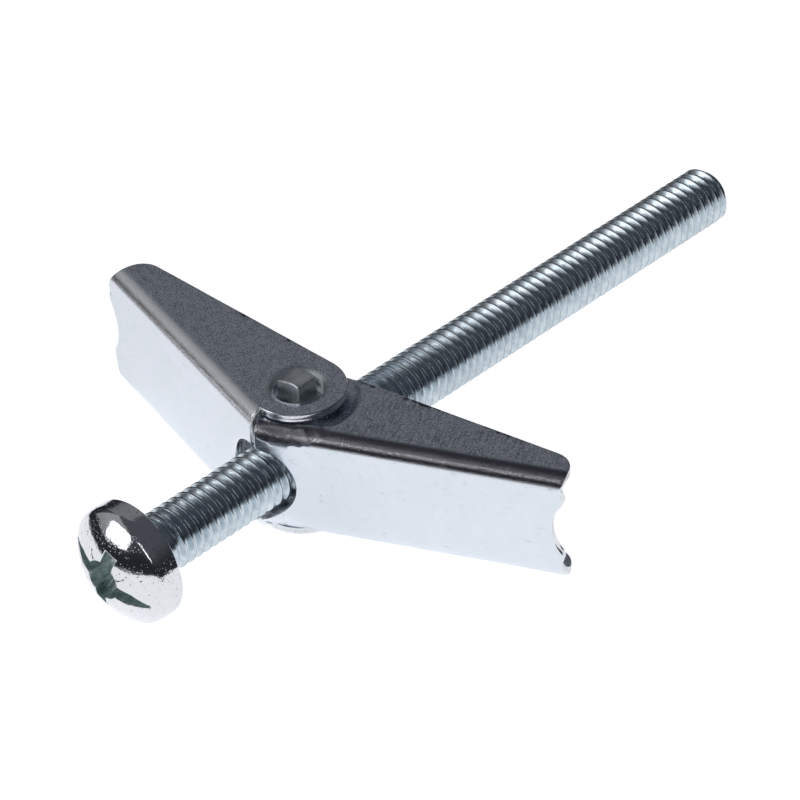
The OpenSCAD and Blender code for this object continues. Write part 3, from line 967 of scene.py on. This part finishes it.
def makeWing(shape, side):
    loop, holes, flat, flange, bendPaintedGlint = wingLoop(shape, side)
    bend, sheet = shape["bendOuter"], shape["sheet"]
    hinge = flange + bendPaintedGlint
    # the outline runs anticlockwise and the holes clockwise, so that left is into the sheet
    signed = lambda l: 0.5 * np.sum(l[:, 0] * np.roll(l[:, 1], -1) - np.roll(l[:, 0], -1) * l[:, 1])
    loop, holes = np.array(loop), [np.array(h) for h in holes]
    loop = loop if signed(loop) >= 0 else loop[::-1]
    holes = [h if signed(h) < 0 else h[::-1] for h in holes]

    # rows of points along the wing: even on the flats, closer on the bends, with rings at the hinge
    grid = shape["grid"]
    levels = list(np.linspace(-flat, flat, int(2 * flat / grid) + 1))
    levels += [s * (flat + (flange - flat) * i / 10) for i in range(1, 11) for s in (1, -1)]
    levels += [s * (flange + d) for d in (0.12, 0.24, 0.36, 0.48, 0.6, 0.75) for s in (1, -1)]
    levels += [s * (flange + grid * i) for i in range(2, 22) for s in (1, -1)]
    free = []
    for k, u in enumerate(sorted(levels)):
        free += [(-6.5 + i * grid + (k % 2) * grid / 2, u) for i in range(int(36 / grid))]
    rings = [shape["holeRadius"] + d for d in (0.62, 0.8, 1.0, 1.25)]
    if side["setIn"]:
        rings += [side["setInRadius"] + d for d in (-0.5, -0.32, -0.16, 0.0, 0.16, 0.32, 0.5)]
    free = np.array(free)
    for sign in (1, -1):
        away = np.hypot(free[:, 0], free[:, 1] - sign * hinge)
        for r in rings:
            free = free[np.abs(away - r) > 0.13]
            away = np.hypot(free[:, 0], free[:, 1] - sign * hinge)
        for r in rings:
            count = int(2 * math.pi * r / 0.3)
            ring = [polar(r, 2 * math.pi * i / count, 0.0, sign * hinge) for i in range(count)]
            ring = [p for p in ring if sign * p[1] > flange - 0.1]
            if ring:
                free = np.concatenate([free, ring])

    # the pressed shape: how far a point of the blank goes in from its own plane
    def pressed(s, u, depth):
        r = np.hypot(s, np.abs(u) - hinge)    # from the hinge
        coined = shape["dish"] * np.clip(1 - depth / sheet, 0, 1)
        into = coined * smooth((shape["holeRadius"] + shape["dishWidth"] - r) / shape["dishWidth"]) ** 2
        if side["setIn"]:
            onFlange = smooth((np.abs(u) - flange - 0.05) / 0.7)
            fade = smooth((side["setInRadius"] + 0.3 - r) / shape["setInFade"])
            into = into + side["setIn"] * fade * onFlange
        wave = np.sin(s * 0.62 + 1.3) * np.cos(u * 0.55 + s * 0.17) + 0.6 * np.sin(s * 0.27 - u * 0.41)
        return into + shape["wave"] * wave * smooth((r - shape["calmRadius"]) / shape["calmWidth"])

    def folded(flatPoints, depth):
        s, u = flatPoints[:, 0], flatPoints[:, 1]
        size, sign = np.abs(u), np.sign(u) + (u == 0)
        a = np.clip((size - flat) / bend, 0, math.pi / 2)
        y = -bendPaintedGlint - bend * np.cos(a) + np.clip(size - flange, 0, None)
        z = sign * (np.minimum(size, flat) + bend * np.sin(a))
        inward = np.stack([np.zeros_like(s), np.cos(a), -sign * np.sin(a)], axis=1)
        return np.stack([s, y, z], axis=1) + inward * (depth + pressed(s, u, depth))[:, None]

    points, sheetPlace, fold, edge, rim, faces = [], [], [], [], [], []

    def add(flatPoints, depth, edgeMark):
        flatPoints = np.asarray(flatPoints)
        depth = np.zeros(len(flatPoints)) + depth
        start = sum(len(p) for p in points)
        points.append(folded(flatPoints, depth))
        sheetPlace.append(np.column_stack([flatPoints, depth]))
        fold.append(smooth((np.abs(flatPoints[:, 1]) - flat) / (flange - flat)))
        edge.append(np.full(len(flatPoints), float(edgeMark)))
        away = np.hypot(flatPoints[:, 0], np.abs(flatPoints[:, 1]) - hinge) - shape["holeRadius"]
        rim.append(smooth((shape["rimWidth"] + 0.15 - away) / 0.3))
        return list(range(start, start + len(flatPoints)))

    back = shape["burr"]
    nearNotch = smooth((shape["notchRadius"] + 1.0 - np.hypot(loop[:, 0], loop[:, 1])) / 0.8)
    rolls = [shape["rollOver"] + (shape["notchRoll"] - shape["rollOver"]) * nearNotch]
    rolls += [np.full(len(h), shape["holeRoll"]) for h in holes]
    skins = []
    for depth, rounds, flip in ((0.0, rolls, False), (sheet, [back] * 3, True)):
        outer = inset(loop, rounds[0])
        inner = [inset(h, r) for h, r in zip(holes, rounds[1:])]
        spots, tris, loops = fillPlane(outer, inner, free, shape["keepOff"])
        ids = add(spots, depth, 0.0)
        faces += [tuple(ids[i] for i in (t[::-1] if flip else t)) for t in tris]
        skins.append([[ids[i] for i in l] for l in loops])

    # the cut edge between the two skins: rolled over outside, a small burr inside
    for k, line in enumerate([loop] + holes):
        previous = skins[0][k]
        out = rolls[k]
        turns = (0.35, 0.75, 1.15, math.pi / 2)
        steps = [(out * (1 - math.sin(a)), out * (1 - math.cos(a))) for a in turns]
        steps += [(0.0, sheet * 0.55), (0.03, sheet * 0.62), (0.03, sheet * 0.8)]
        steps += [(back * (1 - math.cos(a)), sheet - back + back * math.sin(a)) for a in (0.2, 0.8)]
        for margin, depth in steps:
            ids = add(inset(line, margin), depth, 1.0)
            n = len(ids)
            faces += [(previous[i], ids[i], ids[(i + 1) % n], previous[(i + 1) % n]) for i in range(n)]
            previous = ids
        n = len(previous)
        last = skins[1][k]
        faces += [(previous[i], last[i], last[(i + 1) % n], previous[(i + 1) % n]) for i in range(n)]

    points = np.concatenate(points)
    if side["mirror"] < 0:
        points[:, 0] *= -1
        faces = [f[::-1] for f in faces]
    spin = spinMatrix(math.radians(side["lean"]) * side["mirror"])
    points = points @ spin.T + np.array([0, hingeY, side["rise"]])
    metal = sheetZinc(side["name"] + "Zinc", sheetLook, side)
    made = makeMesh(
        side["name"], points, faces, [metal],
        marks={
            "sheetPlace": np.concatenate(sheetPlace), "fold": np.concatenate(fold),
            "edge": np.concatenate(edge), "rim": np.concatenate(rim),
        },
    )
    made.modifiers.new("evenShade", "WEIGHTED_NORMAL").weight = 55
    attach(made, side["body"])
    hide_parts(side["body"])
    return made


for side in (wingRightLook, wingLeftLook):
    made = makeWing(wingShape, side)
    print(side["name"], "made", len(made.data.polygons))


nutShape = {
    "width": 8.0,
    "thickness": 5.0,
    "halfHeight": 3.8,
    "edge": 0.6,
    "bore": 3.05,
    "mouth": 0.5,
    "tangWidth": 2.9,
    "tangThickness": 2.4,
    "tangSunk": 0.45,      # how far the studs' feet reach into the nut
    "tangSteps": 4,
    "shearDeep": 0.6,      # drop of the sheared end at its lowest corner
    "shearShallow": 0.2,
    "round": 0.32,
    "segments": 96,
}


def nutSpot(work, x, y, z):
    return work.verts.new((x * metresPerMm, (hingeY + y) * metresPerMm, z * metresPerMm))


# A square stud with a sheared end, on the upper or the lower side of the nut
def makeTang(shape, sign, top):
    w, t = shape["tangWidth"] / 2, shape["tangThickness"] / 2
    deep, shallow, steps = shape["shearDeep"], shape["shearShallow"], shape["tangSteps"]
    tang = bmesh.new()
    grid = []
    for j in range(steps + 1):
        row = []
        for i in range(steps + 1):
            x, y = -w + 2 * w * i / steps, -t + 2 * t * j / steps
            fall = max(0.0, (w * 0.5 - x) / (1.5 * w)) ** 1.3
            drop = fall * (deep + (shallow - deep) * (y + t) / (2 * t))
            drop += 0.10 * max(0.0, (x - w * 0.5) / (0.5 * w)) ** 2
            row.append(nutSpot(tang, x, y, top - sign * drop))
        grid.append(row)
    low = (shape["halfHeight"] - shape["tangSunk"]) * sign
    base = [nutSpot(tang, x, y, low) for x, y in ((-w, -t), (w, -t), (w, t), (-w, t))]
    for j in range(steps):
        for i in range(steps):
            tang.faces.new((grid[j][i], grid[j][i + 1], grid[j + 1][i + 1], grid[j + 1][i]))
    tang.faces.new([base[1], base[0]] + [grid[0][i] for i in range(steps + 1)])
    tang.faces.new([base[2], base[1]] + [grid[j][steps] for j in range(steps + 1)])
    tang.faces.new([base[3], base[2]] + [grid[steps][i] for i in range(steps, -1, -1)])
    tang.faces.new([base[0], base[3]] + [grid[j][0] for j in range(steps, -1, -1)])
    tang.faces.new(base)
    bmesh.ops.recalc_face_normals(tang, faces=tang.faces[:])
    mesh = bpy.data.meshes.new("tang")
    tang.to_mesh(mesh)
    tang.free()
    return addObject("tang", mesh)


def makeNut(shape):
    half, wide, tall, edge = shape["thickness"] / 2, shape["width"] / 2, shape["halfHeight"], shape["edge"]
    bore, mouth, count = shape["bore"], shape["mouth"], shape["segments"]

    def outline(a):
        c, s = abs(math.cos(a)), abs(math.sin(a))
        return min(wide / max(c, 1e-9), tall / max(s, 1e-9), (wide + tall - edge) / (c + s))

    corners = [math.atan2(tall, wide - edge), math.atan2(tall - edge, wide)]
    angles = [2 * math.pi * i / count for i in range(count)]
    angles += [k * math.pi + s * c for c in corners for s in (1, -1) for k in (0, 1)]
    angles = sorted(a % (2 * math.pi) for a in angles)
    angles = [a for a, b in zip(angles, angles[1:] + [farOff]) if b - a > 0.004]
    section = (
        (-half, None), (half, None), (half, bore + mouth),
        (half - mouth, bore), (mouth - half, bore), (-half, bore + mouth),
    )
    work = bmesh.new()
    rings = []
    for y, r in section:
        ring = [polar(r or outline(a), a) for a in angles]
        rings.append([nutSpot(work, x, y, z) for x, z in ring])
    n = len(angles)
    for a, b in zip(rings, rings[1:] + rings[:1]):
        for i in range(n):
            work.faces.new((a[i], a[(i + 1) % n], b[(i + 1) % n], b[i]))
    bmesh.ops.recalc_face_normals(work, faces=work.faces[:])
    bmesh.ops.dissolve_limit(work, angle_limit=0.01, verts=work.verts[:], edges=work.edges[:])
    mesh = bpy.data.meshes.new("nutBody")
    work.to_mesh(mesh)
    work.free()
    body = addObject("nutBody", mesh)
    for sign, top in ((1, nutHigh[2]), (-1, nutLow[2])):
        stud = makeTang(shape, sign, top)
        join = body.modifiers.new("join", "BOOLEAN")
        join.operation, join.solver, join.object = "UNION", "EXACT", stud
        bpy.context.view_layer.update()
        seen = body.evaluated_get(bpy.context.evaluated_depsgraph_get())
        done = bpy.data.meshes.new_from_object(seen)
        body.modifiers.clear()
        body.data = done
        bpy.data.objects.remove(stud)
    body.data.materials.clear()
    body.data.materials.append(cutMetal)
    body.data.materials.append(edgeHighlightMetal)
    body.data.polygons.foreach_set("use_smooth", [True] * len(body.data.polygons))
    bevel = body.modifiers.new("edges", "BEVEL")
    bevel.width, bevel.segments = shape["round"] * metresPerMm, 3
    bevel.limit_method, bevel.angle_limit = "ANGLE", math.radians(32)
    bevel.material = 1    # the bevel shows a painted highlight: bright metal along the nut's edges
    body.modifiers.new("evenShade", "WEIGHTED_NORMAL").weight = 60
    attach(body, "nut")
    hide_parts("nut")
    return body


nutBody = makeNut(nutShape)
print("nut made", len(nutBody.data.polygons))


# The spring: a coil on the nut, and two legs that turn with the wings
springShape = {
    "wire": 0.5,
    "coilRadius": 2.602,
    "low": 4.15,
    "rise": 1.247,
    "turnStart": 268.0,
    "turnEnd": 1004.1,
    "legRadius": 10.13,
    "perTurn": 48,
    "legSteps": 14,
    "sides": 12,
    "legWrap": 12,          # steps of coil that each leg brings along, so that no gap opens when folded
    "coilWire": 0.97,       # wire of the coil against that of the legs, which lie over its ends
}


# Points and faces of a round wire along a path, with its first end rounded
def wireAlong(path, wire, sides):
    way = np.gradient(path, axis=0)
    way /= np.linalg.norm(way, axis=1)[:, None]
    across = np.cross(way, [0, 0, 1])
    across /= np.linalg.norm(across, axis=1)[:, None]
    rise = np.cross(across, way)
    rounding = ((0.0, 0.6), (0.06, 0.9), (0.16, 1.0))    # place along the wire, and share of its radius
    rows = [(path[0] + way[0] * back, share, 0) for back, share in rounding]
    rows += [(path[i], 1.0, i) for i in range(1, len(path))]
    points, faces = [], []
    for centre, share, i in rows:
        for k in range(sides):
            a = 2 * math.pi * k / sides
            points.append(centre + wire / 2 * share * (math.cos(a) * across[i] + math.sin(a) * rise[i]))
    for i in range(len(rows) - 1):
        for k in range(sides):
            a, b = i * sides + k, i * sides + (k + 1) % sides
            faces.append((a, b, b + sides, a + sides))
    faces.append(tuple(range(sides))[::-1])
    faces.append(tuple((len(rows) - 1) * sides + k for k in range(sides)))
    return points, faces


def makeSpring(shape):
    start, end = math.radians(shape["turnStart"]), math.radians(shape["turnEnd"])
    radius, low, high = shape["coilRadius"], shape["low"], shape["low"] + shape["rise"]
    arcBack = math.acos(radius / shape["legRadius"])
    count = int((end - start) / (2 * math.pi) * shape["perTurn"])
    legSteps = shape["legSteps"]
    tips = [np.array(polar(shape["legRadius"], a)) for a in (start - arcBack, end + arcBack)]
    first, last = np.array(polar(radius, start)), np.array(polar(radius, end))
    path = [(*(tips[0] + (first - tips[0]) * i / legSteps), low) for i in range(legSteps)]
    for i in range(count + 1):
        path.append((*polar(radius, start + (end - start) * i / count), low + shape["rise"] * i / count))
    path += [(*(last + (tips[1] - last) * i / legSteps), high) for i in range(1, legSteps + 1)]
    path = np.array(path) + np.array([0, hingeY, 0])
    leg = legSteps + shape["legWrap"]
    made = []
    for name, body, part, wire in (
        ("springCoil", "nut", path[legSteps:legSteps + count + 1], shape["wire"] * shape["coilWire"]),
        ("springLeft", "wing_left", path[:leg + 1], shape["wire"]),
        ("springRight", "wing_right", path[-leg - 1:][::-1], shape["wire"]),
    ):
        points, faces = wireAlong(part, wire, shape["sides"])
        piece = makeMesh(name, points, faces, [wireMetal])
        work = bmesh.new()
        work.from_mesh(piece.data)
        bmesh.ops.recalc_face_normals(work, faces=work.faces[:])
        work.to_mesh(piece.data)
        work.free()
        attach(piece, body)
        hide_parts("spring")
        made.append(piece)
    return made


springPieces = makeSpring(springShape)
print("spring made", sum(len(p.data.polygons) for p in springPieces))


studio = {
    "floorColour": (0.80, 0.80, 0.80),
    "floorReach": 3.0,          # metres from the middle
    "floorGlow": 0.93,          # the paper as the camera sees it
    "mirrorGlow": 0.79,         # and as it shows in the metal
    "paperMargin": 0.040,       # how far the paper that shows in the metal reaches past the object
    "paperEdge": 0.010,
    "worldLow": (0.020, 0.021, 0.026),
    "worldHigh": (0.072, 0.077, 0.088),
    # seen from the head: azimuth from -Y towards +X, elevation and lean in degrees,
    # distance and size in metres, power in watts
    "lamps": (
        {
            "name": "window", "azimuth": -25, "elevation": 29, "lean": 8,
            "distance": 0.70, "size": (0.46, 0.42), "power": 1.15,
        },
        {
            "name": "halo", "azimuth": -58, "elevation": 36, "lean": 0,
            "distance": 0.76, "size": (0.80, 0.80), "power": 0.50,
        },
        {
            "name": "strip", "azimuth": 40, "elevation": 34, "lean": 41,
            "distance": 0.50, "size": (0.046, 0.33), "power": 0.10,
        },
        {
            "name": "backCard", "azimuth": -138, "elevation": 38, "lean": 0,
            "distance": 0.70, "size": (0.70, 0.50), "power": 0.13,
        },
    ),
}


def direction(azimuth, elevation):
    a, e = math.radians(azimuth), math.radians(elevation)
    return Vector((math.sin(a) * math.cos(e), -math.cos(a) * math.cos(e), math.sin(e)))


# A pale floor. What shows of it in the metal is a sheet of paper a little larger than the object
def paperFloor(look):
    low, high = cadBox
    far = look["floorReach"]
    corners = ((-far, -far), (far, -far), (far, far), (-far, far))
    mesh = bpy.data.meshes.new("floor")
    mesh.from_pydata([(x, y, low.z) for x, y in corners], [], [(0, 1, 2, 3)])
    made = addObject("floor", mesh)
    material = bpy.data.materials.new("floorPaper")
    shader = emptyTree(material)
    seen = shader.node("ShaderNodeLightPath", output="Is Camera Ray")
    glossy = shader.node("ShaderNodeLightPath", output="Is Glossy Ray")
    clear = shader.node("ShaderNodeLightPath", output="Is Transmission Ray")
    spots = shader.node("ShaderNodeTexCoord", output=3).parts()
    sides = []
    for axis in (0, 1):
        reach = (high[axis] - low[axis]) / 2 + look["paperMargin"]
        away = (spots[axis] - (low[axis] + high[axis]) / 2).size()
        sides.append(1 - away.ramp(reach, reach + look["paperEdge"]))
    inside = sides[0] * sides[1]
    paper = shader.node("ShaderNodeBsdfDiffuse", None, {"Color": (*look["floorColour"], 1.0)})
    level = seen * look["floorGlow"] + (glossy + clear).held() * look["mirrorGlow"]
    glow = shader.node("ShaderNodeEmission", None, {"Color": level, "Strength": 1.0})
    both = shader.node("ShaderNodeAddShader", None, {0: paper, 1: glow})
    dark = shader.node("ShaderNodeEmission", None, {"Color": (*look["worldLow"], 1.0), "Strength": 1.0})
    mixed = shader.node("ShaderNodeMixShader", None, {0: glossy * (1 - inside), 1: both, 2: dark})
    shader.node("ShaderNodeOutputMaterial", None, {"Surface": mixed})
    mesh.materials.append(material)


def makeRoom(look):
    world = bpy.data.worlds.new("room")
    bpy.context.scene.world = world
    shader = emptyTree(world)
    height = shader.node("ShaderNodeTexCoord", output="Generated").parts()[2]
    colour = height.ramp(0.1, 0.75).tint(look["worldLow"], look["worldHigh"])
    room = shader.node("ShaderNodeBackground", None, {"Color": colour, "Strength": 1.0})
    shader.node("ShaderNodeOutputWorld", None, {"Surface": room})


def makeLamps(look):
    for lamp in look["lamps"]:
        data = bpy.data.lights.new(lamp["name"], "AREA")
        data.shape = "RECTANGLE"
        data.size, data.size_y = lamp["size"]
        data.energy = lamp["power"]
        made = addObject(lamp["name"], data)
        made.location = direction(lamp["azimuth"], lamp["elevation"]) * lamp["distance"]
        face = direction(lamp["azimuth"], lamp["elevation"]).to_track_quat("Z", "Y").to_matrix()
        made.rotation_euler = (face @ Matrix.Rotation(math.radians(lamp["lean"]), 3, "Z")).to_euler()
        made.visible_camera = False


paperFloor(studio)
makeRoom(studio)
makeLamps(studio)

cameraView = {
    "azimuth": 46.25,
    "elevation": 37.07,
    "roll": 2.7,
    "place": (0.21062, -0.16790, 0.21904),
    "lens": 171.03,
    "sensor": 36.0,
    "clip": (0.01, 20.0),
}


def makeCamera(look):
    back = direction(look["azimuth"], look["elevation"])
    level = Vector((*polar(1.0, math.radians(look["azimuth"])), 0))
    upward = back.cross(level)
    roll = math.radians(look["roll"])
    right = level * math.cos(roll) - upward * math.sin(roll)
    upward = back.cross(right)
    data = bpy.data.cameras.new("view")
    data.lens = look["lens"]
    data.sensor_width = look["sensor"]
    data.clip_start, data.clip_end = look["clip"]
    camera = addObject("view", data)
    turned = Matrix((right, upward, back)).transposed().to_4x4()
    camera.matrix_world = Matrix.Translation(look["place"]) @ turned
    bpy.context.scene.camera = camera


makeCamera(cameraView)
bpy.context.scene.view_settings.view_transform = "Standard"
print("studio made")
